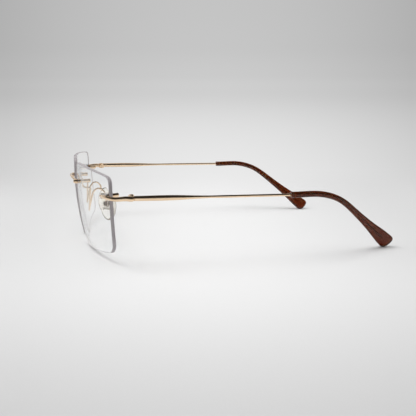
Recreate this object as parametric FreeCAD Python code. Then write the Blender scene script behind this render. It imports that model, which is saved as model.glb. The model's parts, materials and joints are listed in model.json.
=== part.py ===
"""Rimless eyeglasses, standing open on their lenses and tip ends.

Frame: +X is the wearer's left, -Y is the front, +Z is up. The parts are built with the hinge split at
Y = 0, and place_on_floor() then moves them so that the origin is below the middle of the whole object.
"""
import FreeCAD, Part
import math
import os

V = FreeCAD.Vector

# --- lens -------------------------------------------------------------------------------------
LENS_CENTRE = V(35.1, -17.6, 20.8)   # middle of the left lens's front surface
LENS_WRAP = 10.3                     # degrees: the temple side is further back than the nose side
LENS_TILT = 6.0                      # degrees: the lower edge is further back than the upper edge
LENS_FRONT_R = 150.0                 # radius of the front surface
LENS_THICK = 1.7
LENS_BEVEL = 0.28
BLANK_DEPTH = 18.0                   # deep enough for the lens's whole curve
# corners of the outline, in the lens's own plane: across from the centre (towards the temple), and up
NOSE_TOP = (-26.1, 20.7)
TEMPLE_TOP = (28.8, 19.2)
TEMPLE_BOTTOM = (25.3, -16.1)
NOSE_BOTTOM = (-24.3, -21.6)
# how far each side bows out between its corners, and the radius of each corner
BOW_TOP = 1.44
BOW_TEMPLE = 1.52
BOW_BOTTOM = 0.48
BOW_NOSE = 0.48
CORNER_R = {"nose_top": 3.0, "temple_top": 3.8, "temple_bottom": 7.2, "nose_bottom": 4.5}

# --- lens mounting: screw, bushing, washers and nut, stacked along the hole -------------------
NOSE_HOLE = (-21.7, 11.8)            # hole positions in the lens's own plane
TEMPLE_HOLE = (24.2, 10.45)
LENS_HOLE_R = 0.95
BUSHING_R = 0.93
SCREW_R = 0.55
SCREW_GAP = 0.02                     # radial clearance of the screw in everything it passes through
COLLAR_R = 1.55
COLLAR_THICK = 0.9
COLLAR_CHAMFER = 0.2
WASHER_R = 1.35
WASHER_THICK = 0.45
NUT_R = 0.95
BRIDGE_NUT_LENGTH = 3.7
END_NUT_LENGTH = 4.0
NUT_CAP = 0.7                        # solid end of the cap nut
NUT_ROUND = 0.45                     # rounding of that end
SCREW_SHORT = 0.3                    # the screw ends this far above the bottom of the nut's bore
SEAT = 0.02                          # gap left between pieces that bear on each other
HOLE_BORE_R = SCREW_R + SCREW_GAP    # hole for the screw in bushing, washer, nut and fittings
TOOL_LENGTH = 6.0                    # length of the drills that cut the holes

# --- bridge -----------------------------------------------------------------------------------
BRIDGE_TOP = V(0.0, -23.1, 34.2)
BRIDGE_BAR_R = 0.60
BRIDGE_PAD_R = 1.2
BRIDGE_PAD_THICK = 1.1
BRIDGE_PAD_CHAMFER = 0.18
BRIDGE_END_X = 13.0                  # the round bar runs into the drilled pad
HEAD_R = 0.98
HEAD_HEIGHT = 1.1
HEAD_ROOM = 0.05                     # radial clearance of the screw's head from the bar

# --- endpiece ---------------------------------------------------------------------------------
END_TIP_ACROSS = 20.6                # lens-plane position of the strip's thin tip
END_TIP_HALF = (0.30, 0.45)          # half thickness and half height of the strip at its tip
END_HOLE_HALF = (0.55, 0.85)         # and where the screw passes through it
END_EDGE_HALF = (0.78, 0.92)         # and just past the lens's edge
END_EDGE_ACROSS = 30.0
# the bend from the lens's edge back to the hinge: centre, direction, half thickness and half height
END_BEND = [(V(66.25, -8.9, 31.30), V(0.60, 0.80, 0), (0.92, 0.98)),
            (V(67.30, -6.0, 31.37), V(0.16, 0.99, 0), (1.02, 1.06)),
            (V(67.48, -3.0, 31.43), V(0.02, 1.00, 0), (1.10, 1.12))]
FLUSH_HEAD_R = 0.80
FLUSH_LAND = 0.08                    # the countersunk head's straight rim
FLUSH_TOP = 2 * END_HOLE_HALF[0] + SEAT
FLUSH_DEPTH = 0.35
FLUSH_LOW = FLUSH_TOP - FLUSH_DEPTH
STRIP_LIFT = 3 * SEAT                # the strip's inner face clears the lens by this

# --- hinge ------------------------------------------------------------------------------------
HINGE_SPLIT = V(67.5, 0.0, 31.45)    # where endpiece and temple butt, on the temple's centre line
SPLIT_GAP = 0.05
SPLIT_BEVEL = 0.14                   # bevel around both rods' ends at the split
PIVOT = V(65.0, -0.85, 31.45)
KNUCKLE_R = 1.35
KNUCKLE_H = 0.85
KNUCKLE_GAP = 0.03
PIN_R = 0.50
PIN_GAP = 0.03
PIN_FIT = 0.01                       # clearance of the pin in the two outer knuckles
PIN_HEAD_R = 1.0
PIN_HEAD_H = 0.35
PIN_SLOT_WIDTH = 0.25
PIN_SLOT_DEPTH = 0.15
ROD_FACE = 1.40                      # the rods' inner faces stand this far outside the pivot
FLAT_LENGTH = 5.4                    # length of that inner face, half of it on each side of the split
LEAF_LENGTH = 2.95                   # the middle knuckle's leaf runs this far along the temple

# --- temple -----------------------------------------------------------------------------------
SLEEVE_START = V(67.6, 73.3, 30.35)  # where the wire enters the tip cover
# along the wire from the hinge, and the wire's radius there
WIRE_PROFILE = [(0.0, 1.15), (7.0, 1.2), (17.0, 1.2), (28.0, 0.78), (40.0, 0.625)]
WIRE_R = 0.625
CORE_R = 0.55
CORE_GAP = 0.02
CORE_LENGTH_PAST_BEND = 28.4
CORE_PLUG = 1.9                      # the wire's full thickness goes this far into the cover

# --- tip cover --------------------------------------------------------------------------------
TIP_LEAN = 21.0                      # degrees: the plane of the bent tip leans in towards the head
TIP_STRAIGHT = 11.0
TIP_BEND_R = 30.0
TIP_BEND = 41.36                     # degrees
TIP_PADDLE = 34.2                    # length behind the bend
TIP_LENGTH = TIP_STRAIGHT + TIP_BEND_R * math.radians(TIP_BEND) + TIP_PADDLE
TIP_THICK = 2.7
# distance past the end of the bend, and half the cover's height there
TIP_WIDTHS = [(-8.0, 1.38), (0.0, 1.53), (6.0, 1.64), (9.2, 1.77), (14.2, 2.03), (19.2, 2.42),
              (22.5, 2.79), (25.9, 3.22), (29.2, 3.56), (34.2, 3.74)]
TIP_STEPS = 10                       # spline points along each long side
TIP_END_BOW = 1.3
TIP_END_SKEW = 0.4                   # the end's upper corner stands this far further out than its middle
TIP_UPPER_CORNER_R = 1.9
TIP_LOWER_CORNER_R = 2.9
TIP_EDGE_R = 1.15

# --- nose pads --------------------------------------------------------------------------------
PAD_CENTRE = V(10.3, -5.0, 18.8)
PAD_SPLAY = 15.0                     # degrees: lower ends further apart than the upper ends
PAD_TURN = 25.0                      # degrees: rear edges further apart than the front edges
PAD_HALF_LENGTH = 7.3
PAD_HALF_WIDTH = 4.0
PAD_THICK = 2.4
PAD_EDGE_R = 0.85
PIVOT_UP = 1.2                       # the pad's screw sits above the pad's middle
PIVOT_OUT = 2.6                      # and behind its middle plane
DISC_R = 1.7
DISC_THICK = 0.5
DISC_IN = 0.25                       # the disc's back lies this deep in the pad
TAB_WIDTH = 1.1
TAB_HALF_H = 0.75
BOX_GAP = 0.05
BOX_WALL = 0.5
BOX_BACK_WALL = 0.35
BOX_ROUND = 0.3
BOX_HALF_H = 1.2
BOX_FRONT = 0.85                     # the box reaches this far from the pad's screw, each way
BOX_BACK = 1.25
PAD_PIN_R = 0.42
PAD_PIN_FIT = 0.01                   # clearance of the screw in the box's cheeks
PAD_PIN_GAP = 0.03                   # and in the insert's tab
PAD_HEAD_R = 0.75
PAD_HEAD_H = 0.4
PAD_HEAD_CHAMFER = 0.12
PAD_SLOT_WIDTH = 0.2
PAD_SLOT_DEPTH = 0.15
ARM_R = 0.42
ARM_CLEAR = 0.05                     # the wire starts this far outside the bushing's collar
ARM_END_IN = 0.3                     # the wire ends this far inside the box's back
ARM_END_DOWN = 0.15                  # and this far below its top
EYELET_R = 1.45
TONGUE_START = 0.85                  # the flat tongue between eyelet and wire starts this far out
# corners of the arm's wire between the eyelet and the pad box, and the radius of each bend
ARM_POINTS = [V(13.35, -17.3, 29.6), V(13.3, -14.0, 29.2), V(13.3, -14.9, 17.6), V(11.1, -14.9, 17.6),
              V(11.4, -12.8, 26.4), V(12.2, -9.9, 29.8), V(12.9, -6.9, 26.4)]
ARM_BEND_R = [0.9, 0.9, 1.0, 1.0, 2.2, 2.6, 2.2]


def spindle(radius, length, base=V(0, 0, 0), direction=V(0, 0, 1)):
    """A plain cylinder."""
    return Part.makeCylinder(radius, length, base, direction)


def ring(outer, inner, length, base=V(0, 0, 0)):
    """A flat ring or tube along +Z."""
    return spindle(outer, length, base).cut(spindle(inner, length, base))


def turned(points):
    """A solid of revolution about Z, from (radius, height) corners of half of its section."""
    corners = [V(r, 0, z) for r, z in points]
    face = Part.Face(Part.makePolygon(corners + corners[:1]))
    return face.revolve(V(0, 0, 0), V(0, 0, 1), 360)


def rounded_path(points, radii):
    """Straight runs through the points, joined by tangent arcs of the given radii at the inner points."""
    edges = []
    start = points[0]
    for here, after, before, radius in zip(points[1:-1], points[2:], points[:-2], radii):
        back = (before - here).normalize()
        on = (after - here).normalize()
        half = back.getAngle(on) / 2
        reach = radius / math.tan(half)
        first = here + back * reach
        last = here + on * reach
        centre = here + (back + on).normalize() * (radius / math.sin(half))
        middle = centre + (here - centre).normalize() * radius
        edges.append(Part.LineSegment(start, first).toShape())
        edges.append(Part.Arc(first, middle, last).toShape())
        start = last
    edges.append(Part.LineSegment(start, points[-1]).toShape())
    return Part.Wire(edges)


def wire_rod(path, radius):
    """A round rod along a path."""
    start = path.Edges[0].valueAt(path.Edges[0].FirstParameter)
    direction = path.Edges[0].tangentAt(path.Edges[0].FirstParameter)
    section = Part.Wire(Part.makeCircle(radius, start, direction))
    return path.makePipeShell([section], True, False)


def mirrored(shape):
    """The right-hand twin of a left-hand piece."""
    return shape.mirror(V(0, 0, 0), V(1, 0, 0))


# --- lens -------------------------------------------------------------------------------------

def lens_placement():
    """Takes the lens's own axes (X across, Y back, Z up) to their place on the left."""
    tilt = FreeCAD.Rotation(V(1, 0, 0), LENS_TILT)
    wrap = FreeCAD.Rotation(V(0, 0, 1), LENS_WRAP)
    return FreeCAD.Placement(LENS_CENTRE, wrap.multiply(tilt))


def front_point(across, up):
    """A point of the lens's front surface, in the lens's own axes."""
    sag = LENS_FRONT_R - math.sqrt(LENS_FRONT_R ** 2 - across ** 2 - up ** 2)
    return V(across, sag, up)


def hole_placement(hole):
    """Takes +Z to the outward normal of the lens's front surface at a hole, with the origin on it."""
    point = front_point(*hole)
    normal = (point - V(0, LENS_FRONT_R, 0)).normalize()
    local = FreeCAD.Placement(point, FreeCAD.Rotation(V(0, 0, 1), normal))
    return lens_placement().multiply(local)


def bowed_side(first, last, bow):
    """An arc from one corner to the next that bows outwards; the corners run clockwise."""
    start = V(first[0], 0, first[1])
    end = V(last[0], 0, last[1])
    along = end - start
    outwards = V(-along.z, 0, along.x).normalize()
    return Part.Arc(start, (start + end) * 0.5 + outwards * bow, end).toShape()


def lens():
    """The left lens: two concentric spherical faces, a ground edge with fine bevels, and two holes."""
    corners = [NOSE_TOP, TEMPLE_TOP, TEMPLE_BOTTOM, NOSE_BOTTOM]
    bows = [BOW_TOP, BOW_TEMPLE, BOW_BOTTOM, BOW_NOSE]
    sides = [bowed_side(a, b, bow) for a, b, bow in zip(corners, corners[1:] + corners[:1], bows)]
    outline = Part.Face(Part.Wire(sides))
    outline.translate(V(0, -LENS_THICK, 0))
    blank = outline.extrude(V(0, BLANK_DEPTH, 0))
    radii = dict(zip(corners, [CORNER_R["nose_top"], CORNER_R["temple_top"],
                               CORNER_R["temple_bottom"], CORNER_R["nose_bottom"]]))
    for corner, radius in radii.items():
        blank = blank.makeFillet(radius, [corner_edge(blank, corner)])
    centre = V(0, LENS_FRONT_R, 0)
    outer = Part.makeSphere(LENS_FRONT_R, centre)
    inner = Part.makeSphere(LENS_FRONT_R - LENS_THICK, centre)
    body = blank.common(outer).cut(inner)
    body = body.makeChamfer(LENS_BEVEL, face_edges(body))
    body.Placement = lens_placement()
    for hole in (NOSE_HOLE, TEMPLE_HOLE):
        drill = spindle(LENS_HOLE_R, TOOL_LENGTH, V(0, 0, -(TOOL_LENGTH + LENS_THICK) / 2))
        body = body.cut(at_hole(drill, hole))
    return body


def corner_edge(solid, corner):
    """The straight edge of the blank that stands at one corner of the outline."""
    for edge in solid.Edges:
        ends = [vertex.Point for vertex in edge.Vertexes]
        if len(ends) == 2 and all(math.hypot(p.x - corner[0], p.z - corner[1]) < 1e-6 for p in ends):
            return edge


def face_edges(solid):
    """The edges around the front and back faces of the lens."""
    found = []
    for face in solid.Faces:
        if isinstance(face.Surface, Part.Sphere):
            found.extend(face.Edges)
    return found


# --- lens mounting ----------------------------------------------------------------------------

def bushing():
    """Clear sleeve in the lens hole, with a collar behind the lens."""
    sleeve = ring(BUSHING_R, HOLE_BORE_R, LENS_THICK + SEAT, V(0, 0, -LENS_THICK - SEAT))
    collar = ring(COLLAR_R, HOLE_BORE_R, COLLAR_THICK, V(0, 0, -LENS_THICK - SEAT - COLLAR_THICK))
    collar = collar.makeChamfer(COLLAR_CHAMFER, outer_rim(collar, COLLAR_R))
    return sleeve.fuse(collar).removeSplitter()


def outer_rim(solid, radius):
    """The circular edges of a given radius."""
    found = []
    for edge in solid.Edges:
        if isinstance(edge.Curve, Part.Circle) and abs(edge.Curve.Radius - radius) < 1e-6:
            found.append(edge)
    return found


def behind_collar():
    """Height of the back of the bushing's collar."""
    return -LENS_THICK - 2 * SEAT - COLLAR_THICK


def washer():
    """Metal washer between collar and nut."""
    return ring(WASHER_R, HOLE_BORE_R, WASHER_THICK, V(0, 0, behind_collar() - WASHER_THICK))


def nut(length):
    """Long cap nut with a rounded, closed end."""
    top = behind_collar() - WASHER_THICK - SEAT
    body = spindle(NUT_R, length, V(0, 0, top - length))
    end = [edge for edge in outer_rim(body, NUT_R) if edge.BoundBox.ZMax < top - length / 2]
    body = body.makeFillet(NUT_ROUND, end)
    bore_depth = length - NUT_CAP
    return body.cut(spindle(HOLE_BORE_R, bore_depth, V(0, 0, top - bore_depth)))


def shank(top, nut_length):
    """The screw's shank, from a height in front of the lens to near the bottom of the nut."""
    bottom = behind_collar() - WASHER_THICK - nut_length + NUT_CAP + SCREW_SHORT
    return spindle(SCREW_R, top - bottom, V(0, 0, bottom))


def domed_screw():
    """Bridge screw: a domed head that bears on the bridge's pad."""
    seat = BRIDGE_PAD_THICK + 2 * SEAT
    sphere_r = (HEAD_R ** 2 + HEAD_HEIGHT ** 2) / (2 * HEAD_HEIGHT)
    ball = Part.makeSphere(sphere_r, V(0, 0, seat + HEAD_HEIGHT - sphere_r))
    above = spindle(2 * sphere_r, 2 * sphere_r, V(0, 0, seat))
    whole = ball.common(above).fuse(shank(seat + HEAD_HEIGHT / 2, BRIDGE_NUT_LENGTH))
    return whole.removeSplitter()


def flush_screw():
    """Endpiece screw: a countersunk head, level with the strip's outer face."""
    head = turned([(0, FLUSH_LOW), (SCREW_R, FLUSH_LOW), (FLUSH_HEAD_R, FLUSH_TOP - FLUSH_LAND),
                   (FLUSH_HEAD_R, FLUSH_TOP), (0, FLUSH_TOP)])
    return head.fuse(shank(FLUSH_LOW, END_NUT_LENGTH)).removeSplitter()


# --- bridge and endpiece ----------------------------------------------------------------------

def bridge():
    """Bar arched over the nose, with a drilled pad on each lens."""
    left = hole_placement(NOSE_HOLE)
    inner = left.multVec(V(0, 0, BRIDGE_BAR_R + SEAT))
    end = V(BRIDGE_END_X, inner.y, inner.z)
    arch = Part.Wire([Part.Arc(V(-end.x, end.y, end.z), BRIDGE_TOP, end).toShape()])
    bar = wire_rod(arch, BRIDGE_BAR_R)
    pad = ring(BRIDGE_PAD_R, HOLE_BORE_R, BRIDGE_PAD_THICK, V(0, 0, SEAT))
    pad = pad.makeChamfer(BRIDGE_PAD_CHAMFER, outer_rim(pad, BRIDGE_PAD_R))
    drill = spindle(HOLE_BORE_R, TOOL_LENGTH)
    head_room = spindle(HEAD_R + HEAD_ROOM, TOOL_LENGTH, V(0, 0, BRIDGE_PAD_THICK + SEAT))
    for piece in (pad, drill, head_room):
        piece.Placement = left.multiply(piece.Placement)
    whole = bar.fuse([pad, mirrored(pad)])
    for tool in (drill, head_room):
        whole = whole.cut([tool, mirrored(tool)])
    return whole.removeSplitter()


def oval(centre, along, half_thick, half_height):
    """A closed oval section across a level direction, with its height upright."""
    level = V(along.x, along.y, 0).normalize()
    edge = Part.Ellipse(V(0, 0, 0), half_height, half_thick).toShape()
    upright = V(0, 0, 1)
    turned_to = FreeCAD.Rotation(upright, upright.cross(level), level, "XYZ")
    edge.Placement = FreeCAD.Placement(centre, turned_to)
    return Part.Wire([edge])


def endpiece_strip():
    """The tapered strip, from its tip on the lens front, round the lens's edge, to the hinge split."""
    place = lens_placement()
    up = TEMPLE_HOLE[1]
    half_way = 0.5 * (END_TIP_ACROSS + TEMPLE_HOLE[0])
    half_size = tuple(0.5 * (a + b) for a, b in zip(END_TIP_HALF, END_HOLE_HALF))
    on_lens = [(END_TIP_ACROSS, END_TIP_HALF), (half_way, half_size), (TEMPLE_HOLE[0], END_HOLE_HALF),
               (END_EDGE_ACROSS, END_EDGE_HALF)]
    sections = []
    for across, half in on_lens:
        point = front_point(across, up)
        normal = (point - V(0, LENS_FRONT_R, 0)).normalize()
        centre = place.multVec(point + normal * (half[0] + STRIP_LIFT))
        sections.append(oval(centre, place.Rotation.multVec(V(0, 0, 1).cross(normal)), *half))
    for centre, along, half in END_BEND:
        sections.append(oval(centre, along, *half))
    split = V(HINGE_SPLIT.x, -SPLIT_GAP / 2, HINGE_SPLIT.z)
    sections.append(oval(split, V(0, 1, 0), WIRE_PROFILE[0][1], WIRE_PROFILE[0][1]))
    return Part.makeLoft(sections, True, False)


def knuckle(level, leaf_y):
    """A hinge knuckle whose bottom is at a level above the pivot's, with a leaf out to the rod."""
    base = PIVOT + V(0, 0, level)
    barrel = spindle(KNUCKLE_R, KNUCKLE_H, base)
    length = abs(leaf_y)
    leaf = Part.makeBox(HINGE_SPLIT.x - PIVOT.x, length, KNUCKLE_H, base + V(0, min(leaf_y, 0), 0))
    return barrel.fuse(leaf)


def rod_side(shape):
    """Keeps a rod's metal clear of the knuckles: its inner face is flat beside the hinge."""
    corner = V(PIVOT.x + ROD_FACE - TOOL_LENGTH, -FLAT_LENGTH / 2, PIVOT.z - TOOL_LENGTH / 2)
    return shape.cut(Part.makeBox(TOOL_LENGTH, FLAT_LENGTH, TOOL_LENGTH, corner))


def hinge_drill(clearance):
    """Cylinder that cuts the pin's hole through a knuckle."""
    return spindle(PIN_R + clearance, TOOL_LENGTH, PIVOT - V(0, 0, TOOL_LENGTH / 2))


def split_groove():
    """Cuts a fine V all round both rods where they butt."""
    rod_r = WIRE_PROFILE[0][1]
    half = SPLIT_GAP / 2 + SPLIT_BEVEL
    wide = 2 * SPLIT_BEVEL
    groove = turned([(rod_r - half, 0), (rod_r + wide, -half - wide), (rod_r + wide, half + wide)])
    groove.Placement = FreeCAD.Placement(HINGE_SPLIT, FreeCAD.Rotation(V(0, 0, 1), V(0, 1, 0)))
    return groove


def endpiece():
    """Strip, two outer knuckles, and the hole for the lens screw."""
    strip = rod_side(endpiece_strip().cut(split_groove()))
    half = KNUCKLE_H / 2 + KNUCKLE_GAP
    lower = knuckle(-half - KNUCKLE_H, -KNUCKLE_R)
    upper = knuckle(half, -KNUCKLE_R)
    whole = strip.fuse([lower, upper])
    behind = Part.makeBox(TOOL_LENGTH, TOOL_LENGTH, TOOL_LENGTH,
                          V(PIVOT.x + KNUCKLE_R, -SPLIT_GAP / 2, PIVOT.z - TOOL_LENGTH / 2))
    drill = spindle(HOLE_BORE_R, TOOL_LENGTH, V(0, 0, -LENS_THICK))
    outer = FLUSH_HEAD_R + SCREW_GAP
    sink = turned([(0, FLUSH_LOW - SEAT), (HOLE_BORE_R, FLUSH_LOW - SEAT), (outer, FLUSH_TOP - FLUSH_LAND),
                   (outer, FLUSH_TOP + TOOL_LENGTH), (0, FLUSH_TOP + TOOL_LENGTH)])
    holes = [at_hole(tool, TEMPLE_HOLE) for tool in (drill, sink)]
    return whole.cut([behind, hinge_drill(PIN_FIT)] + holes).removeSplitter()


def hinge_screw():
    """Vertical screw through the three knuckles, with a domed head on top."""
    half = 1.5 * KNUCKLE_H + KNUCKLE_GAP
    pin = spindle(PIN_R, 2 * half + SEAT, PIVOT - V(0, 0, half))
    sphere_r = (PIN_HEAD_R ** 2 + PIN_HEAD_H ** 2) / (2 * PIN_HEAD_H)
    top = PIVOT + V(0, 0, half + SEAT)
    ball = Part.makeSphere(sphere_r, top + V(0, 0, PIN_HEAD_H - sphere_r))
    head = ball.common(spindle(2 * sphere_r, 2 * sphere_r, top))
    slot = Part.makeBox(2 * PIN_HEAD_R, PIN_SLOT_WIDTH, PIN_HEAD_H,
                        top + V(-PIN_HEAD_R, -PIN_SLOT_WIDTH / 2, PIN_HEAD_H - PIN_SLOT_DEPTH))
    return pin.fuse(head).cut(slot).removeSplitter()


# --- temple -----------------------------------------------------------------------------------

def wire_direction():
    """Unit vector along the straight part of the left temple."""
    return (SLEEVE_START - HINGE_SPLIT).normalize()


def tip_placement():
    """Takes the tip's own plane (X along the sleeve, Y down the bend, Z out of the plane) to its place."""
    along = V(0, 1, 0)
    lean = math.radians(TIP_LEAN)
    down = V(-math.sin(lean), 0, -math.cos(lean))
    rotation = FreeCAD.Rotation(along, down, along.cross(down), "XYZ")
    return FreeCAD.Placement(SLEEVE_START, rotation)


def tip_centre(s):
    """Point and direction of the tip's centre line, a distance s along it, in the tip's own plane."""
    bend = math.radians(TIP_BEND)
    if s <= TIP_STRAIGHT:
        return V(s, 0, 0), V(1, 0, 0)
    turn = min((s - TIP_STRAIGHT) / TIP_BEND_R, bend)
    point = V(TIP_STRAIGHT + TIP_BEND_R * math.sin(turn), TIP_BEND_R * (1 - math.cos(turn)), 0)
    direction = V(math.cos(turn), math.sin(turn), 0)
    past = max(0.0, s - TIP_STRAIGHT - TIP_BEND_R * bend)
    return point + direction * past, direction


def tip_half_width(s):
    """Half the height of the tip cover: slim to the end of the bend, then widening into the paddle."""
    past = s - TIP_STRAIGHT - TIP_BEND_R * math.radians(TIP_BEND)
    for (near, narrow), (far, wide) in zip(TIP_WIDTHS, TIP_WIDTHS[1:]):
        if past < far:
            share = max(0.0, past - near) / (far - near)
            return narrow + (wide - narrow) * share
    return TIP_WIDTHS[-1][1]


def tip_side(sign):
    """Points of one long side of the tip cover, from the sleeve's mouth to the paddle's end."""
    points = []
    for i in range(TIP_STEPS + 1):
        s = TIP_LENGTH * i / TIP_STEPS
        point, direction = tip_centre(s)
        points.append(point + V(-direction.y, direction.x, 0) * (sign * tip_half_width(s)))
    points[-1] = points[-1] - direction * (sign * TIP_END_SKEW)
    return points


def core_path(start, past_bend):
    """The wire's centre line inside the cover, from a start point on the sleeve's line."""
    bend = math.radians(TIP_BEND)
    turn_end = TIP_STRAIGHT + TIP_BEND_R * bend
    first, _ = tip_centre(TIP_STRAIGHT)
    middle, _ = tip_centre(TIP_STRAIGHT + TIP_BEND_R * bend / 2)
    last, _ = tip_centre(turn_end)
    end, _ = tip_centre(turn_end + past_bend)
    return Part.Wire([Part.LineSegment(start, first).toShape(), Part.Arc(first, middle, last).toShape(),
                      Part.LineSegment(last, end).toShape()])


def tip_cover():
    """Acetate sleeve and paddle, with a blind bore for the wire's core."""
    upper = tip_side(-1)
    lower = tip_side(1)
    curves = []
    for points in (upper, lower):
        spline = Part.BSplineCurve()
        spline.interpolate(points)
        curves.append(spline.toShape())
    end, direction = tip_centre(TIP_LENGTH)
    cap = Part.Arc(upper[-1], end + direction * TIP_END_BOW, lower[-1]).toShape()
    mouth = Part.LineSegment(lower[0], upper[0]).toShape()
    face = Part.Face(Part.Wire([curves[0], cap, curves[1], mouth]))
    face.translate(V(0, 0, -TIP_THICK / 2))
    body = face.extrude(V(0, 0, TIP_THICK))
    for point, radius in ((upper[-1], TIP_UPPER_CORNER_R), (lower[-1], TIP_LOWER_CORNER_R)):
        corner = [edge for edge in body.Edges if is_cross_edge(edge, point)]
        body = body.makeFillet(radius, corner)
    rims = [edge for edge in body.Edges if is_rim_edge(edge)]
    body = body.makeFillet(TIP_EDGE_R, rims)
    ahead = V(-1, 0, 0)
    bore = wire_rod(core_path(ahead, CORE_LENGTH_PAST_BEND + CORE_GAP), CORE_R + CORE_GAP)
    mouth_bore = spindle(WIRE_R + CORE_GAP, 1 + CORE_PLUG + CORE_GAP, ahead, V(1, 0, 0))
    body = body.cut([bore, mouth_bore])
    body.Placement = tip_placement()
    return body


def is_cross_edge(edge, point):
    """True for the straight edge across the thickness at a point."""
    ends = [vertex.Point for vertex in edge.Vertexes]
    if len(ends) != 2 or abs(abs(ends[0].z - ends[1].z) - TIP_THICK) > 1e-6:
        return False
    return math.hypot(ends[0].x - point.x, ends[0].y - point.y) < 1e-6


def is_rim_edge(edge):
    """True for an outline edge on either flat face of the cover, apart from the sleeve's mouth."""
    ends = [vertex.Point for vertex in edge.Vertexes]
    level = all(abs(abs(p.z) - TIP_THICK / 2) < 1e-6 for p in ends)
    return level and not all(abs(p.x) < 1e-6 for p in ends)


def straight_wire():
    """The temple's wire from the hinge to the tip cover, thick in front and slim behind."""
    length = (SLEEVE_START - HINGE_SPLIT).Length
    spline = Part.BSplineCurve()
    spline.interpolate([V(radius, 0, along) for along, radius in WIRE_PROFILE])
    last = V(WIRE_R, 0, WIRE_PROFILE[-1][0])
    edges = [Part.LineSegment(V(0, 0, 0), V(WIRE_PROFILE[0][1], 0, 0)).toShape(), spline.toShape(),
             Part.LineSegment(last, V(WIRE_R, 0, length)).toShape(),
             Part.LineSegment(V(WIRE_R, 0, length), V(0, 0, length)).toShape(),
             Part.LineSegment(V(0, 0, length), V(0, 0, 0)).toShape()]
    rod = Part.Face(Part.Wire(edges)).revolve(V(0, 0, 0), V(0, 0, 1), 360)
    rod.Placement = FreeCAD.Placement(HINGE_SPLIT, FreeCAD.Rotation(V(0, 0, 1), wire_direction()))
    return rod


def temple():
    """Wire, middle knuckle, and the core that runs on inside the tip cover."""
    core = wire_rod(core_path(V(0, 0, 0), CORE_LENGTH_PAST_BEND), CORE_R)
    core = core.fuse(spindle(WIRE_R, CORE_PLUG, V(0, 0, 0), V(1, 0, 0)))
    core.Placement = tip_placement()
    middle = knuckle(-KNUCKLE_H / 2, LEAF_LENGTH)
    ahead = Part.makeBox(TOOL_LENGTH, TOOL_LENGTH, TOOL_LENGTH,
                         V(PIVOT.x + KNUCKLE_R, SPLIT_GAP / 2 - TOOL_LENGTH, PIVOT.z - TOOL_LENGTH / 2))
    rod = rod_side(straight_wire().cut(split_groove()))
    return rod.fuse([core, middle]).cut([ahead, hinge_drill(PIN_GAP)]).removeSplitter()


# --- nose pads --------------------------------------------------------------------------------

def pad_placement():
    """Takes the pad's own axes (X towards the nose, Y across it, Z along its length) to their place."""
    turn = FreeCAD.Rotation(V(0, 0, 1), 180 - PAD_TURN)
    splay = FreeCAD.Rotation(V(0, 1, 0), -PAD_SPLAY)
    return FreeCAD.Placement(PAD_CENTRE, splay.multiply(turn))


def pad_pivot():
    """The pad screw's centre, in the pad's own axes."""
    return V(-PIVOT_OUT, 0, PIVOT_UP)


def pad_insert():
    """Metal disc moulded into the pad, with a rounded, drilled tab."""
    pivot = pad_pivot()
    disc_x = DISC_IN - PAD_THICK / 2
    disc = spindle(DISC_R, DISC_THICK, V(disc_x, 0, PIVOT_UP), V(1, 0, 0))
    tab = Part.makeBox(disc_x + DISC_THICK / 2 - pivot.x, TAB_WIDTH, 2 * TAB_HALF_H,
                       pivot + V(0, -TAB_WIDTH / 2, -TAB_HALF_H))
    eye = spindle(TAB_HALF_H, TAB_WIDTH, pivot + V(0, -TAB_WIDTH / 2, 0), V(0, 1, 0))
    return disc.fuse([tab, eye]).cut(pad_drill(PAD_PIN_GAP)).removeSplitter()


def pad_drill(clearance):
    """Cylinder that cuts the pad screw's hole."""
    return spindle(PAD_PIN_R + clearance, TOOL_LENGTH, pad_pivot() - V(0, TOOL_LENGTH / 2, 0), V(0, 1, 0))


def nose_pad():
    """Clear oval pad with rounded edges, moulded around the insert's disc."""
    outline = Part.Ellipse(V(0, 0, 0), PAD_HALF_LENGTH, PAD_HALF_WIDTH).toShape()
    face = Part.Face(Part.Wire([outline]))
    body = face.extrude(V(0, 0, PAD_THICK))
    body.translate(V(0, 0, -PAD_THICK / 2))
    rims = [edge for edge in body.Edges if isinstance(edge.Curve, Part.Ellipse)]
    body = body.makeFillet(PAD_EDGE_R, rims)
    upright = FreeCAD.Rotation(V(0, 0, 1), V(0, -1, 0), V(1, 0, 0), "XYZ")
    body.Placement = FreeCAD.Placement(V(0, 0, 0), upright)
    return body.cut(pad_insert())


def pad_box():
    """U-shaped clip: two cheeks with the screw hole, and a back wall."""
    pivot = pad_pivot()
    inner = TAB_WIDTH / 2 + BOX_GAP
    outer = inner + BOX_WALL
    block = Part.makeBox(BOX_FRONT + BOX_BACK, 2 * outer, 2 * BOX_HALF_H,
                         pivot + V(-BOX_BACK, -outer, -BOX_HALF_H))
    block = block.makeFillet(BOX_ROUND, [edge for edge in block.Edges if edge.BoundBox.XLength > BOX_BACK])
    channel = Part.makeBox(TOOL_LENGTH, 2 * inner, TOOL_LENGTH,
                           pivot + V(BOX_BACK_WALL - BOX_BACK, -inner, -TOOL_LENGTH / 2))
    return block.cut([channel, pad_drill(PAD_PIN_FIT)]).removeSplitter()


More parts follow.
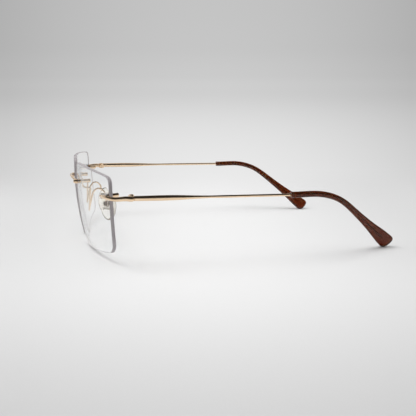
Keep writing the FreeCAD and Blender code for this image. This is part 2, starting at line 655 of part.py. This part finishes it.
def pad_screw():
    """Small slotted screw across the box."""
    pivot = pad_pivot()
    outer = TAB_WIDTH / 2 + BOX_GAP + BOX_WALL
    under_head = outer + SEAT
    pin = spindle(PAD_PIN_R, outer + under_head, pivot + V(0, -outer, 0), V(0, 1, 0))
    head = spindle(PAD_HEAD_R, PAD_HEAD_H, pivot + V(0, under_head, 0), V(0, 1, 0))
    rim = [edge for edge in outer_rim(head, PAD_HEAD_R) if edge.CenterOfMass.y > under_head + PAD_HEAD_H / 2]
    head = head.makeChamfer(PAD_HEAD_CHAMFER, rim)
    slot_y = under_head + PAD_HEAD_H - PAD_SLOT_DEPTH
    slot = Part.makeBox(2 * PAD_HEAD_R, PAD_HEAD_H, PAD_SLOT_WIDTH,
                        pivot + V(-PAD_HEAD_R, slot_y, -PAD_SLOT_WIDTH / 2))
    return pin.fuse(head).cut(slot).removeSplitter()


def pad_arm():
    """Wire from an eyelet under the bridge nut: down, up behind the lens in a loop, back to the pad box."""
    seat = hole_placement(NOSE_HOLE)
    level = behind_collar() - WASHER_THICK
    eyelet = ring(EYELET_R, HOLE_BORE_R, WASHER_THICK, V(0, 0, level))
    eyelet.Placement = seat
    middle = seat.multVec(V(0, 0, level + WASHER_THICK / 2))
    drop = (ARM_POINTS[0] - middle).normalize()
    start = middle + drop * (COLLAR_R + ARM_R + ARM_CLEAR)
    tongue = Part.makeBox(EYELET_R, 2 * ARM_R, WASHER_THICK, V(TONGUE_START, -ARM_R, -WASHER_THICK / 2))
    front = seat.Rotation.multVec(V(0, 0, 1))
    outwards = (drop - front * drop.dot(front)).normalize()
    lying = FreeCAD.Rotation(outwards, front.cross(outwards), front, "XZY")
    tongue.Placement = FreeCAD.Placement(middle, lying)
    in_box = V(ARM_END_IN - BOX_BACK, 0, BOX_HALF_H - ARM_END_DOWN)
    box_top = pad_placement().multVec(pad_pivot() + in_box)
    path = rounded_path([start] + ARM_POINTS + [box_top], ARM_BEND_R)
    return wire_rod(path, ARM_R).fuse([eyelet, tongue]).cut(at_pad(pad_box())).removeSplitter()


# --- assembly ---------------------------------------------------------------------------------

def at_hole(shape, hole):
    """Puts a shape built about a hole's axis at one of the lens's holes."""
    shape.Placement = hole_placement(hole)
    return shape


def at_pad(shape):
    """Puts a shape built in the pad's own axes in its place."""
    shape.Placement = pad_placement().multiply(shape.Placement)
    return shape


def left_pieces():
    """Every piece of the left side, by name."""
    return {
        "lens": lens(),
        "endpiece": endpiece(),
        "bridge_screw": at_hole(domed_screw(), NOSE_HOLE),
        "bridge_bushing": at_hole(bushing(), NOSE_HOLE),
        "bridge_nut": at_hole(nut(BRIDGE_NUT_LENGTH), NOSE_HOLE),
        "endpiece_screw": at_hole(flush_screw(), TEMPLE_HOLE),
        "endpiece_bushing": at_hole(bushing(), TEMPLE_HOLE),
        "endpiece_washer": at_hole(washer(), TEMPLE_HOLE),
        "endpiece_nut": at_hole(nut(END_NUT_LENGTH), TEMPLE_HOLE),
        "hinge_screw": hinge_screw(),
        "temple": temple(),
        "tip_cover": tip_cover(),
        "pad_arm": pad_arm(),
        "pad_box": at_pad(pad_box()),
        "pad_screw": at_pad(pad_screw()),
        "pad_insert": at_pad(pad_insert()),
        "nose_pad": at_pad(nose_pad()),
    }


def box_of(shape):
    """A close bounding box."""
    return shape.optimalBoundingBox(False, False)


def place_on_floor(pieces):
    """Moves everything so that the origin is below the middle of the whole object, on the floor."""
    boxes = [box_of(shape) for shape in pieces.values()]
    low_y = min(box.YMin for box in boxes)
    high_y = max(box.YMax for box in boxes)
    low_z = min(box.ZMin for box in boxes)
    shift = V(0, -(low_y + high_y) / 2, -low_z)
    for shape in pieces.values():
        shape.translate(shift)
    return shift


def main():
    pieces = {"bridge": bridge()}
    for name, shape in left_pieces().items():
        pieces["left_" + name] = shape
        pieces["right_" + name] = mirrored(shape)
    shift = place_on_floor(pieces)
    print("hinge split plane at y = %.3f mm, floor shift %.3f mm" % (shift.y, shift.z))
    os.makedirs("parts", exist_ok=True)
    for name, shape in pieces.items():
        box = box_of(shape)
        print("%-24s solids %d valid %s volume %8.2f mm3  x %.2f..%.2f y %.2f..%.2f z %.2f..%.2f" % (
            name, len(shape.Solids), shape.isValid(), shape.Volume,
            box.XMin, box.XMax, box.YMin, box.YMax, box.ZMin, box.ZMax))
        shape.exportStep("parts/%s.step" % name)


main()
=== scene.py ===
"""Looks of the rimless eyeglasses: materials, nose pads, studio and camera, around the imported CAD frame."""

import json
import math

import bmesh
import bpy
from mathutils import Matrix, Vector


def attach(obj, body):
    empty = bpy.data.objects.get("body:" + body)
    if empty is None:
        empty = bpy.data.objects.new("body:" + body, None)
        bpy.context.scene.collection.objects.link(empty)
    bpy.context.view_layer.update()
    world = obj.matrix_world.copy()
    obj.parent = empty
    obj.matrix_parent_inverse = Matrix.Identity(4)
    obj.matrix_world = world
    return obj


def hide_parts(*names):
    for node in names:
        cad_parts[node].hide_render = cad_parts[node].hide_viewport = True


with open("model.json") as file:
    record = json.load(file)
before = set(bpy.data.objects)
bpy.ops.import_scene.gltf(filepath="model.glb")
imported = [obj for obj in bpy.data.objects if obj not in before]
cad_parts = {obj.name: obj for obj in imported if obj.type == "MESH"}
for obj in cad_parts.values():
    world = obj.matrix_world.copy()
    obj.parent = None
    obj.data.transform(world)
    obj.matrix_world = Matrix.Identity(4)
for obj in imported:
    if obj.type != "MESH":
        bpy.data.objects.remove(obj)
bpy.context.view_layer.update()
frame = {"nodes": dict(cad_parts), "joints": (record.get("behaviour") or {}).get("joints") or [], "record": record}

SIDES = ("left", "right")
record = frame["record"]


# --- node helpers -------------------------------------------------------------------------------

def add(tree, kind, inputs=None, **settings):
    """A new node; each input, by name or number, is a value or the socket that feeds it."""
    made = tree.nodes.new(kind)
    for key, value in settings.items():
        setattr(made, key, value)
    for key, value in (inputs or {}).items():
        if isinstance(value, bpy.types.NodeSocket):
            tree.links.new(value, made.inputs[key])
        else:
            made.inputs[key].default_value = value
    return made


def new_material(name):
    """An empty node material and its tree."""
    material = bpy.data.materials.new(name)
    material.use_nodes = True
    material.node_tree.nodes.clear()
    return material, material.node_tree


def output(tree, surface, volume=None):
    """The material's output, fed with its surface and, where it has one, its volume."""
    links = {"Surface": surface}
    if volume is not None:
        links["Volume"] = volume
    add(tree, "ShaderNodeOutputMaterial", links)


def placed(tree):
    """Object coordinates, in metres."""
    return add(tree, "ShaderNodeTexCoord").outputs["Object"]


def stretched(tree, scale):
    """Object coordinates, stretched by a scale for each axis."""
    return add(tree, "ShaderNodeMapping", {"Vector": placed(tree), "Scale": scale}).outputs["Vector"]


def noise(tree, scale, detail=2.0, vector=None):
    """Noise from 0 to 1 with a number of cells for each metre."""
    inputs = {"Vector": vector or placed(tree), "Scale": scale, "Detail": detail}
    return add(tree, "ShaderNodeTexNoise", inputs).outputs["Fac"]


def ranged(tree, value, low, high, from_low=0.3, from_high=0.7, smooth=False):
    """A value mapped from one range to another and kept inside it; most noise lies between 0.3 and 0.7."""
    style = "SMOOTHSTEP" if smooth else "LINEAR"
    inputs = {"Value": value, "From Min": from_low, "From Max": from_high, "To Min": low, "To Max": high}
    return add(tree, "ShaderNodeMapRange", inputs, interpolation_type=style).outputs["Result"]


def math_node(tree, operation, first, second=0.0):
    """The result of a Math node; an operation on one value has no use for the second."""
    return add(tree, "ShaderNodeMath", {0: first, 1: second}, operation=operation).outputs[0]


def dotted(tree, vector, direction):
    """How far a vector goes along a direction of length 1."""
    made = add(tree, "ShaderNodeVectorMath", {0: vector, 1: direction}, operation="DOT_PRODUCT")
    return made.outputs["Value"]


def length_of(tree, vector):
    """A vector's length."""
    return add(tree, "ShaderNodeVectorMath", {0: vector}, operation="LENGTH").outputs["Value"]


def two_tone(tree, share, first, second):
    """A colour between two, by a share from 0 to 1."""
    inputs = {0: share, 6: (*first, 1), 7: (*second, 1)}
    return add(tree, "ShaderNodeMix", inputs, data_type="RGBA").outputs[2]


def mixed(tree, share, first, second):
    """A shader between two, by a share from 0 to 1."""
    return add(tree, "ShaderNodeMixShader", {0: share, 1: first, 2: second}).outputs[0]


def bump(tree, height, depth, strength):
    """A bumped normal; depth is in metres."""
    inputs = {"Height": height, "Distance": depth, "Strength": strength}
    return add(tree, "ShaderNodeBump", inputs).outputs["Normal"]


def clear_shadows(tree, shader, tint):
    """Lets light through a clear piece, so that its shadow is faint."""
    path = add(tree, "ShaderNodeLightPath")
    share = math_node(tree, "MAXIMUM", path.outputs["Is Shadow Ray"], path.outputs["Is Diffuse Ray"])
    clear = add(tree, "ShaderNodeBsdfTransparent", {"Color": (*tint, 1)}).outputs[0]
    return mixed(tree, share, shader, clear)


# --- materials ----------------------------------------------------------------------------------

# cells of noise for each metre
WEAR_CELLS = 260.0                      # patches of wear in the plating
LINE_CELLS = (5200.0, 260.0, 5200.0)    # drawn lines: fine across the wire, long along it
COATING_CELLS = 22.0                    # slow changes in the coating's thickness
HAZE_CELLS = 900.0
GRAIN_CELLS = 5200.0                    # grinding marks on the lens's wall
STREAK_CELLS = (420.0, 40.0, 300.0)     # streaks in the acetate, long along it
POLISH_CELLS = 1500.0
RIPPLE_CELLS = 700.0                    # moulded ripples in clear plastic

RUBBED = 0.12                           # how much paler the plating is on rubbed edges
RUBBED_EDGES = (0.52, 0.62)             # pointiness at which rubbing starts and is at its strongest
LENS_WRAP = 10.3                        # degrees: the temple side is further back than the nose side
LENS_TILT = 6.0                         # degrees: the lower edge is further back than the upper edge
LENS_IOR = 1.56
LENS_FACE = (0.996, 0.998, 0.999)
LENS_SHADOW = (0.975, 0.98, 0.98)
WALL_FACING = (0.80, 0.90)              # cosines to the lens's axis at which its wall ends and its face starts
GROUND_TONES = ((0.42, 0.385, 0.40), (0.54, 0.50, 0.515))
COATING_NM = (96.0, 118.0)
COATING_IOR = 1.30
ACETATE_IOR = 1.49
ACETATE_GLOSS = 0.10                    # low: the tip covers hardly mirror what is around them
ACETATE_SURFACE = (0.97, 0.76, 0.58)
ACETATE_DEPTHS = ((0.70, 0.30, 0.08), (0.66, 0.26, 0.05))
ACETATE_DENSITY = 1700.0                # absorption for each metre
ACETATE_BODY = 0.45                     # share of the look that is a cloudy body, the rest being see-through
BODY_TONES = ((0.130, 0.039, 0.012), (0.110, 0.031, 0.010))
BODY_GLOW = 0.0015                      # how far light spreads inside the body
NYLON_TINT = (0.95, 0.95, 0.94)


def plated_metal(name, bright, deep, smooth=0.09, worn=0.22):
    """Polished plated wire: drawn lines along it, patches of wear, and paler high edges."""
    material, tree = new_material(name)
    patches = ranged(tree, noise(tree, WEAR_CELLS, 3.0), 0.0, 1.0)
    lines = noise(tree, 1.0, 2.0, stretched(tree, LINE_CELLS))
    plating = two_tone(tree, patches, bright, deep)
    edges = add(tree, "ShaderNodeNewGeometry").outputs["Pointiness"]
    rubbed = ranged(tree, edges, 0.0, 0.5, *RUBBED_EDGES)
    paler = two_tone(tree, rubbed, (0, 0, 0), tuple(RUBBED * level for level in bright))
    colour = add(tree, "ShaderNodeMix", {0: 1.0, 6: plating, 7: paler}, data_type="RGBA", blend_type="ADD")
    shader = add(tree, "ShaderNodeBsdfPrincipled", {
        "Base Color": colour.outputs[2], "Metallic": 1.0,
        "Roughness": ranged(tree, lines, smooth, worn, 0.35, 0.75), "Normal": bump(tree, lines, 1.5e-6, 0.5)})
    output(tree, shader.outputs[0])
    return material


def lens_axis(side):
    """The lens's axis: the direction through its thickness, at the middle of its front face."""
    wrap = math.radians(LENS_WRAP if side == "left" else -LENS_WRAP)
    tilt = math.radians(LENS_TILT)
    return Matrix.Rotation(wrap, 3, "Z") @ Matrix.Rotation(tilt, 3, "X") @ Vector((0, 1, 0))


def lens_material(name, axis):
    """Clear coated plastic on the two faces, and a matte ground edge; axis is the lens's own axis."""
    material, tree = new_material(name)
    along = dotted(tree, add(tree, "ShaderNodeTexCoord").outputs["Normal"], axis)
    wall = ranged(tree, math_node(tree, "ABSOLUTE", along), 1.0, 0.0, *WALL_FACING)
    haze = ranged(tree, noise(tree, HAZE_CELLS, 4.0), 0.0, 0.012)
    coating = ranged(tree, noise(tree, COATING_CELLS), *COATING_NM)
    face = add(tree, "ShaderNodeBsdfPrincipled", {
        "Base Color": (*LENS_FACE, 1), "Roughness": haze, "IOR": LENS_IOR, "Transmission Weight": 1.0,
        "Thin Film Thickness": coating, "Thin Film IOR": COATING_IOR})
    grain = noise(tree, GRAIN_CELLS, 3.0)
    ground = add(tree, "ShaderNodeBsdfPrincipled", {
        "Base Color": two_tone(tree, ranged(tree, grain, 0.0, 1.0), *GROUND_TONES), "Roughness": 0.55,
        "IOR": LENS_IOR, "Transmission Weight": 0.25, "Normal": bump(tree, grain, 6e-6, 0.6)})
    clear = clear_shadows(tree, face.outputs[0], LENS_SHADOW)
    output(tree, mixed(tree, wall, clear, ground.outputs[0]))
    return material


def acetate_material(name):
    """Polished see-through red-brown acetate with faint darker streaks along it."""
    material, tree = new_material(name)
    streaks = ranged(tree, noise(tree, 1.0, 3.0, stretched(tree, STREAK_CELLS)), 0.0, 1.0)
    polish = ranged(tree, noise(tree, POLISH_CELLS, 4.0), 0.05, 0.12)
    surface = {"Roughness": polish, "IOR": ACETATE_IOR, "Specular IOR Level": ACETATE_GLOSS}
    clear = add(tree, "ShaderNodeBsdfPrincipled", {
        **surface, "Base Color": (*ACETATE_SURFACE, 1), "Transmission Weight": 1.0})
    body = add(tree, "ShaderNodeBsdfPrincipled", {
        **surface, "Base Color": two_tone(tree, streaks, *BODY_TONES),
        "Subsurface Weight": 0.5, "Subsurface Radius": (1.0, 0.25, 0.12), "Subsurface Scale": BODY_GLOW})
    depth = {"Color": two_tone(tree, streaks, *ACETATE_DEPTHS), "Density": ACETATE_DENSITY}
    absorb = add(tree, "ShaderNodeVolumeAbsorption", depth)
    output(tree, mixed(tree, ACETATE_BODY, clear.outputs[0], body.outputs[0]), absorb.outputs[0])
    return material


def clear_plastic_material(name, tint, rim, rough, ior, shadow):
    """Soft clear plastic with a slight haze and moulded ripples; rim is a painted sheen: the colour it is given
    where it is seen edge on.
    """
    material, tree = new_material(name)
    ripples = noise(tree, RIPPLE_CELLS, 3.0)
    edge_on = add(tree, "ShaderNodeLayerWeight", {"Blend": 0.35}).outputs["Facing"]
    shader = add(tree, "ShaderNodeBsdfPrincipled", {
        # painted sheen: the colour turns from tint to rim where the plastic is seen edge on
        "Base Color": two_tone(tree, edge_on, tint, rim),
        "Roughness": ranged(tree, ripples, rough, 2.2 * rough), "IOR": ior,
        "Transmission Weight": 1.0, "Normal": bump(tree, ripples, 8e-6, 0.4)})
    output(tree, clear_shadows(tree, shader.outputs[0], shadow))
    return material


gold = plated_metal("gold_metal_plated", bright=(0.90, 0.69, 0.48), deep=(0.83, 0.62, 0.42))
silver = plated_metal("silver_metal_plated", bright=(0.78, 0.75, 0.72), deep=(0.66, 0.63, 0.61),
                      smooth=0.12, worn=0.26)
satin = plated_metal("silver_metal_satin", bright=(0.80, 0.76, 0.73), deep=(0.70, 0.66, 0.63),
                     smooth=0.42, worn=0.55)
acetate = acetate_material("brown_acetate_polished")
# the pad's gold-tinted rim colour is a painted sheen where it is seen edge on
silicone = clear_plastic_material("clear_silicone_pad", tint=(0.995, 0.985, 0.955), rim=(0.92, 0.76, 0.48),
                                  rough=0.02, ior=1.36, shadow=(0.95, 0.945, 0.92))
nylon = clear_plastic_material("clear_plastic_bushing", tint=NYLON_TINT, rim=NYLON_TINT,
                               rough=0.12, ior=1.50, shadow=(0.85, 0.85, 0.85))
lenses = {side: lens_material(side + "_lens_coated", lens_axis(side)) for side in SIDES}
by_slot = {"gold_metal": gold, "silver_metal": silver, "brown_acetate": acetate,
           "clear_silicone": silicone, "clear_plastic": nylon}


def chosen_material(node, slot):
    """The material of a CAD node, by its slot; lenses and pad inserts have their own."""
    if slot == "clear_lens":
        return lenses[node.split("_")[0]]
    return satin if node.endswith("pad_insert") else by_slot[slot]


for part in record["subparts"]:
    for slot in frame["nodes"][part["node"]].material_slots:
        slot.material = chosen_material(part["node"], part["material_slot"])


# --- nose pads ----------------------------------------------------------------------------------

PAD_HALF_LENGTH = 0.0073
PAD_HALF_WIDTH = 0.0040
PAD_HALF_THICK = 0.0012
PAD_EDGE = 0.0010                       # width of the rounded rim
PAD_DOME = 0.00030                      # how far each face is domed
PAD_SEGMENTS = 72
PAD_RIM_STEPS = 12
FACE_SHARES = (0.12, 0.3, 0.5, 0.7, 0.85, 1.0)


def pad_axes(side):
    """The pad's middle, and its axes: towards the nose, across, and along its length."""
    mount = next(m for m in record["mounts"] if m["name"] == side + "_nose_pad_face")
    joint = next(j for j in frame["joints"] if j["name"] == side + "_pad_rock")
    out = Vector(mount["axis"]).normalized()
    across = Vector(joint["axis"]).normalized()
    along = out.cross(across)
    if along.z < 0:
        along.negate()
    return Vector(mount["pos_m"]) - out * PAD_HALF_THICK, out, across, along


def pad_profile():
    """Rings of the pad, from its nose side over the rim to its back.

    Each is its share of the face's size, its share of the rim's width, and its height.
    """
    crown = PAD_HALF_THICK - PAD_DOME
    rings = [(share, 0.0, PAD_HALF_THICK - PAD_DOME * share ** 2) for share in FACE_SHARES]
    for step in range(1, PAD_RIM_STEPS):
        turn = math.pi * step / PAD_RIM_STEPS
        rings.append((1.0, math.sin(turn), crown * math.cos(turn)))
    rings += [(share, 0.0, PAD_DOME * share ** 2 - PAD_HALF_THICK) for share in reversed(FACE_SHARES)]
    return rings


def pad_mesh(side):
    """The oval pad's mesh, gently domed on both faces, where the CAD pad is."""
    middle, out, across, along = pad_axes(side)
    body = bmesh.new()
    loops = []
    for share, rim, height in pad_profile():
        length = share * (PAD_HALF_LENGTH - PAD_EDGE) + rim * PAD_EDGE
        width = share * (PAD_HALF_WIDTH - PAD_EDGE) + rim * PAD_EDGE
        loop = []
        for index in range(PAD_SEGMENTS):
            turn = 2 * math.pi * index / PAD_SEGMENTS
            u, v = width * math.cos(turn), length * math.sin(turn)
            loop.append(body.verts.new(middle + out * height + across * u + along * v))
        loops.append(loop)
    for first, second in zip(loops, loops[1:]):
        for index in range(PAD_SEGMENTS):
            after = (index + 1) % PAD_SEGMENTS
            body.faces.new((first[index], first[after], second[after], second[index]))
    body.faces.new(loops[0])
    body.faces.new(loops[-1])
    bmesh.ops.recalc_face_normals(body, faces=body.faces)
    mesh = bpy.data.meshes.new(side + "_pad_shell")
    body.to_mesh(mesh)
    body.free()
    mesh.polygons.foreach_set("use_smooth", [True] * len(mesh.polygons))
    return mesh


def make_pad(side):
    """A clear pad, that stands for the CAD pad."""
    pad = bpy.data.objects.new(side + "_pad_shell", pad_mesh(side))
    bpy.context.scene.collection.objects.link(pad)
    pad.data.materials.append(silicone)
    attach(pad, side + "_nose_pad")
    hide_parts(side + "_nose_pad")


for side in SIDES:
    make_pad(side)


# --- studio -------------------------------------------------------------------------------------

BACKDROP = (-0.9692, 0.2463, 0.0)       # level direction from the object to the backdrop's bright middle
SIDEWAYS = (0.2463, 0.9692, 0.0)        # level direction along the backdrop
HORIZON = 0.62                          # brightness of the backdrop where the floor ends
# brightness of the backdrop by height, from 0 at the horizon to 1 overhead
SKY_TONES = ((0.0, HORIZON), (0.015, 0.592), (0.056, 0.56), (0.115, 0.55), (0.24, 0.10), (0.50, 0.03))
FLOOR_REACH = 12.0                      # radius of the floor
FLOOR_SEGMENTS = 96
PAPER_FRONT = -0.31                     # where the painted shade on the paper is darkest, and where it ends: distances from the object towards the backdrop
PAPER_BACK = -0.09                      # distances from the object towards the backdrop
# painted shade: the paper's brightness where it is darkest, towards its front
PAINTED_SHADE_DARKEST = 0.56
PAPER_PALE = 0.885
PAINTED_SHADE_SIDES = 0.82                      # painted shade: brightness at the sides, against the middle
PAPER_HALF_WIDTH = 0.14
FIBRE_CELLS = 1400.0
GLOW_RISE = 0.235                       # the glow that takes over from the paper: its brightness above the
GLOW_FADE = 1.55                        # horizon's, and the distance over which that falls to about a third
GLOW_SIDES = 0.80
GLOW_SPREAD = 0.38                      # added to the distance from the object, to keep the middle wide there
GLOW_BEHIND = (0.06, 0.30)              # towards the backdrop, it takes over between these distances
GLOW_AROUND = (0.26, 0.85)              # and between these in every direction
FALLOFF_REACH = 0.075                   # squared sine of the angle at which the falloff to the sides ends
SIDE_LIGHTS = {"softbox_front": -0.75, "softbox_back": 0.75}    # each one's place in Y
SIDE_LIGHT_HEIGHT = 0.55
CAMERA_AT = (0.3701, -0.0976, 0.0806)
CAMERA_AIM = (-0.9546, 0.2426, -0.1728)
CAMERA_LENS = 60.58                     # focal length in millimetres, on a sensor this wide
CAMERA_SENSOR = 36.0


def side_falloff(tree, sine):
    """Brightness that falls away on both sides of the backdrop's bright middle."""
    return ranged(tree, math_node(tree, "MULTIPLY", sine, sine), 1.0, GLOW_SIDES, 0.0, FALLOFF_REACH)


def paper_with_painted_shade(tree, towards, across):
    """Matte paper with fibres, and painted shade that darkens it towards its front and its sides."""
    aside = math_node(tree, "ABSOLUTE", across)
    # painted shade, towards the sides and towards the front
    fall = ranged(tree, aside, 1.0, PAINTED_SHADE_SIDES, 0.0, PAPER_HALF_WIDTH, smooth=True)
    fibre = ranged(tree, noise(tree, FIBRE_CELLS, 4.0), 0.985, 1.0)
    front = ranged(tree, towards, PAINTED_SHADE_DARKEST, PAPER_PALE, PAPER_FRONT, PAPER_BACK, smooth=True)
    tone = math_node(tree, "MULTIPLY", math_node(tree, "MULTIPLY", fibre, fall), front)
    inputs = {"Base Color": tone, "Roughness": 0.9, "Specular IOR Level": 0.1}
    return add(tree, "ShaderNodeBsdfPrincipled", inputs).outputs[0]


def glow_shader(tree, away, across):
    """A painted glow that fades with distance to the horizon's brightness."""
    sine = math_node(tree, "DIVIDE", across, math_node(tree, "ADD", away, GLOW_SPREAD))
    fading = math_node(tree, "EXPONENT", math_node(tree, "DIVIDE", away, -GLOW_FADE))
    level = math_node(tree, "ADD", math_node(tree, "MULTIPLY", fading, GLOW_RISE), HORIZON)
    strength = math_node(tree, "MULTIPLY", level, side_falloff(tree, sine))
    return add(tree, "ShaderNodeEmission", {"Color": (1, 1, 1, 1), "Strength": strength}).outputs[0]


def floor_material():
    """Pale matte paper lit by the lamps, with painted shade that shapes a soft pool of light around the object,
    and a painted glow that fades into the backdrop far away.
    """
    material, tree = new_material("pale_floor_paper_painted_light")
    place = placed(tree)
    towards = dotted(tree, place, BACKDROP)
    across = dotted(tree, place, SIDEWAYS)
    away = length_of(tree, place)
    behind = ranged(tree, towards, 0.0, 1.0, *GLOW_BEHIND, smooth=True)
    around = ranged(tree, away, 0.0, 1.0, *GLOW_AROUND, smooth=True)
    share = math_node(tree, "MAXIMUM", behind, around)
    output(tree, mixed(tree, share, paper_with_painted_shade(tree, towards, across), glow_shader(tree, away, across)))
    return material


def make_floor():
    """A round floor that reaches the horizon."""
    mesh = bpy.data.meshes.new("studio_floor")
    disc = bmesh.new()
    bmesh.ops.create_circle(disc, cap_ends=True, radius=FLOOR_REACH, segments=FLOOR_SEGMENTS)
    disc.to_mesh(mesh)
    disc.free()
    floor = bpy.data.objects.new("studio_floor", mesh)
    bpy.context.scene.collection.objects.link(floor)
    floor.data.materials.append(floor_material())


def make_world():
    """A backdrop that is pale near the horizon and dark overhead."""
    world = bpy.data.worlds.new("studio_world")
    world.use_nodes = True
    tree = world.node_tree
    tree.nodes.clear()
    direction = add(tree, "ShaderNodeTexCoord").outputs["Generated"]
    height = add(tree, "ShaderNodeSeparateXYZ", {"Vector": direction}).outputs["Z"]
    ramp = add(tree, "ShaderNodeValToRGB", {"Fac": height})
    ramp.color_ramp.interpolation = "EASE"
    elements = ramp.color_ramp.elements
    while len(elements) < len(SKY_TONES):
        elements.new(0.5)
    for element, (position, level) in zip(elements, SKY_TONES):
        element.position = position
        element.color = (level, level, level, 1)
    strength = side_falloff(tree, dotted(tree, direction, SIDEWAYS))
    back = add(tree, "ShaderNodeBackground", {"Color": ramp.outputs[0], "Strength": strength})
    add(tree, "ShaderNodeOutputWorld", {"Surface": back.outputs[0]})
    bpy.context.scene.world = world


def make_light(name, place, size, power, target=(0, 0, 0), mirrored=False, lighting=True):
    """A soft rectangular light aimed at a point; its power is in watts.

    Unless it is mirrored, it is kept out of reflections, and unless it is lighting, it shows only in them.
    """
    light = bpy.data.lights.new(name, "AREA")
    light.shape = "RECTANGLE"
    light.size, light.size_y = size
    light.energy = power
    holder = bpy.data.objects.new(name, light)
    bpy.context.scene.collection.objects.link(holder)
    holder.location = place
    holder.rotation_mode = "QUATERNION"
    holder.rotation_quaternion = (Vector(target) - Vector(place)).to_track_quat("-Z", "Y")
    holder.visible_camera = False
    holder.visible_transmission = False
    holder.visible_glossy = mirrored
    holder.visible_diffuse = lighting


def make_reflector(name, place, size, power):
    """A bright panel that faces down and shows only in reflections."""
    make_light(name, place, size, power, target=(place[0], place[1], 0), mirrored=True, lighting=False)


def make_camera():
    """The viewpoint: beside the wearer's left temple, a little in front and above."""
    data = bpy.data.cameras.new("camera")
    data.sensor_width = CAMERA_SENSOR
    data.lens = CAMERA_LENS
    data.clip_start, data.clip_end = 0.01, 50.0
    camera = bpy.data.objects.new("camera", data)
    bpy.context.scene.collection.objects.link(camera)
    camera.location = CAMERA_AT
    camera.rotation_mode = "QUATERNION"
    camera.rotation_quaternion = Vector(CAMERA_AIM).to_track_quat("-Z", "Y")
    bpy.context.scene.camera = camera


make_floor()
make_world()
for name, y in SIDE_LIGHTS.items():
    make_light(name, (0, y, SIDE_LIGHT_HEIGHT), size=(1.30, 1.30), power=7.3)
make_light("softbox_top", (0, -0.22, 0.90), size=(0.60, 0.60), power=3.8)
make_reflector("reflector_bridge", (-0.02, -0.085, 0.12), size=(0.08, 0.07), power=0.011)
make_reflector("reflector_far", (-0.30, 0, 0.11), size=(0.46, 0.50), power=0.5)
make_camera()
bpy.context.scene.view_settings.view_transform = "Standard"

bpy.context.view_layer.update()
